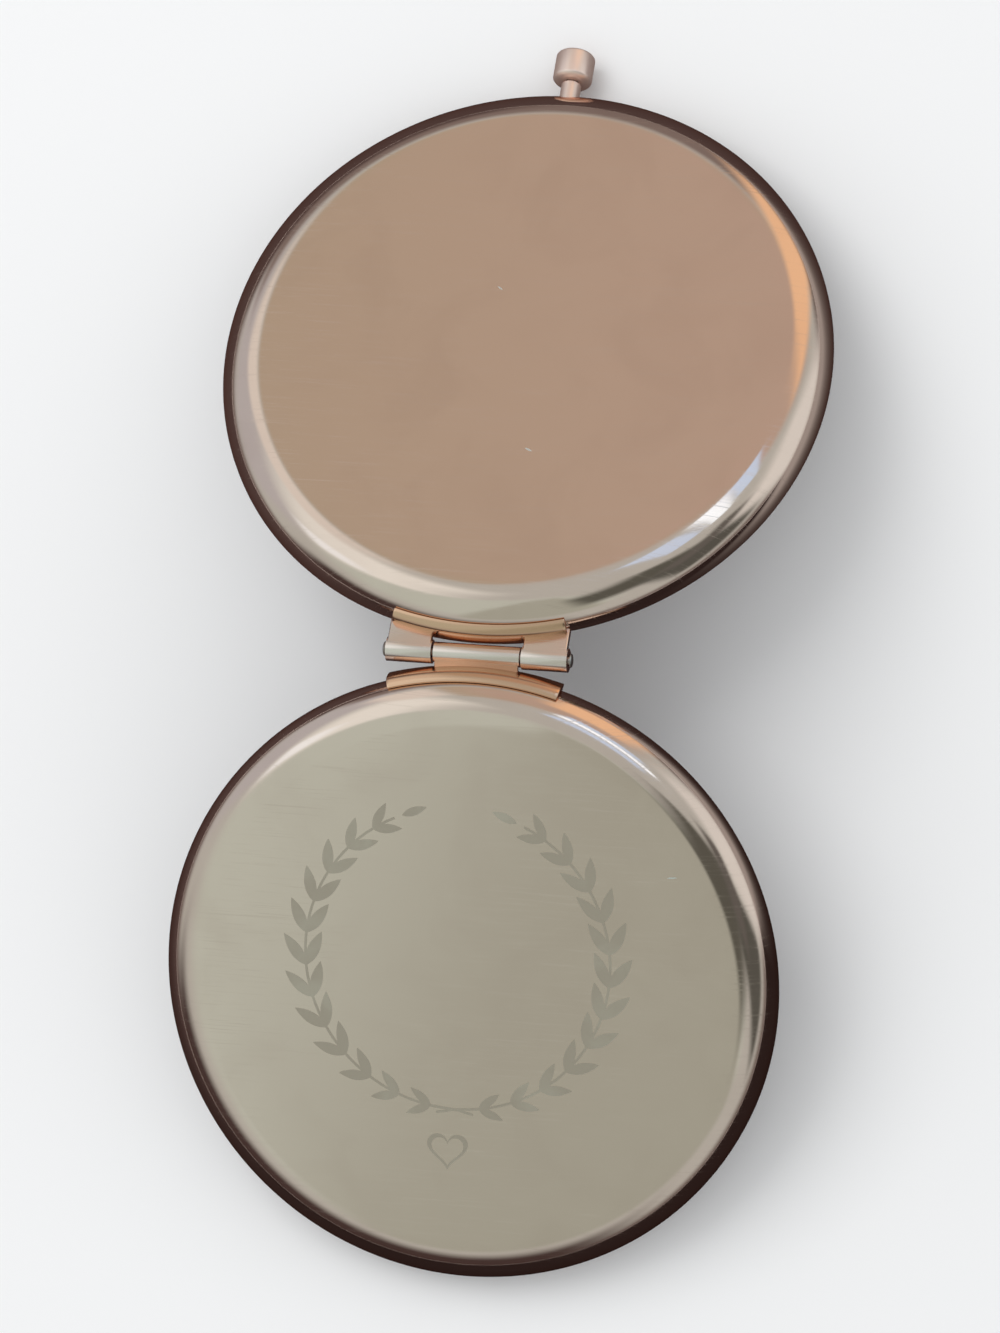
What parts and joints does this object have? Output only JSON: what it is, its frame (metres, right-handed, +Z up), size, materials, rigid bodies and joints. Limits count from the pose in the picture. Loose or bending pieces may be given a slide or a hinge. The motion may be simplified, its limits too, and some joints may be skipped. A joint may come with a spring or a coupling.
{
  "type": "compact mirror",
  "caption": "Round folding pocket mirror: thin polished metal halves on a pin hinge, a flat and a magnifying glass inside, and a push button catch at the rim.",
  "frame": {"origin": "on the surface it stands on, under the middle of the whole part", "axes": "+Z up, X along the hinge axis, +Y from the hinge towards the half with the push button"},
  "size_m": [0.07, 0.1422, 0.0291],
  "materials": {
    "rose_gold": "polished rose-gold plate",
    "satin_steel": "satin",
    "mirror_glass": "silvered glass",
    "foam": "soft closed-cell foam",
    "fibre": "pressed fibre board"
  },
  "bodies": {
    "base": {"base_cover": "rose_gold", "base_mirror_frame": "rose_gold", "base_mirror": "mirror_glass", "base_mirror_pad": "foam", "base_spacer_disc": "fibre", "base_hinge_leaf": "rose_gold", "hinge_pin": "satin_steel", "latch_guide": "satin_steel", "latch_guide_rivet_left": "satin_steel", "latch_guide_rivet_right": "satin_steel", "latch_spring": "satin_steel"},
    "button": {"button_cap": "rose_gold", "button_stem": "rose_gold", "latch_slider": "satin_steel"},
    "lid": {"lid_cover": "rose_gold", "lid_mirror_frame": "rose_gold", "lid_mirror": "mirror_glass", "lid_mirror_pad": "foam", "lid_spacer_disc": "fibre", "lid_hinge_leaf": "rose_gold", "lid_catch": "satin_steel", "lid_catch_rivet_left": "satin_steel", "lid_catch_rivet_right": "satin_steel"}
  },
  "joints": [
    {"name": "lid_hinge", "type": "hinge", "parent": "base", "child": "lid", "pos_m": [0, -0.0029, 0.02638], "axis": [1, 0, 0], "range_deg": [-40, 140]},
    {"name": "button_slide", "type": "slide", "parent": "base", "child": "button", "axis": [0, -0.9397, 0.3421], "range_m": [0, 0.0012], "stiffness_N_per_m": 600, "springref_m": -0.0015, "deforming": ["latch_spring"]}
  ]
}
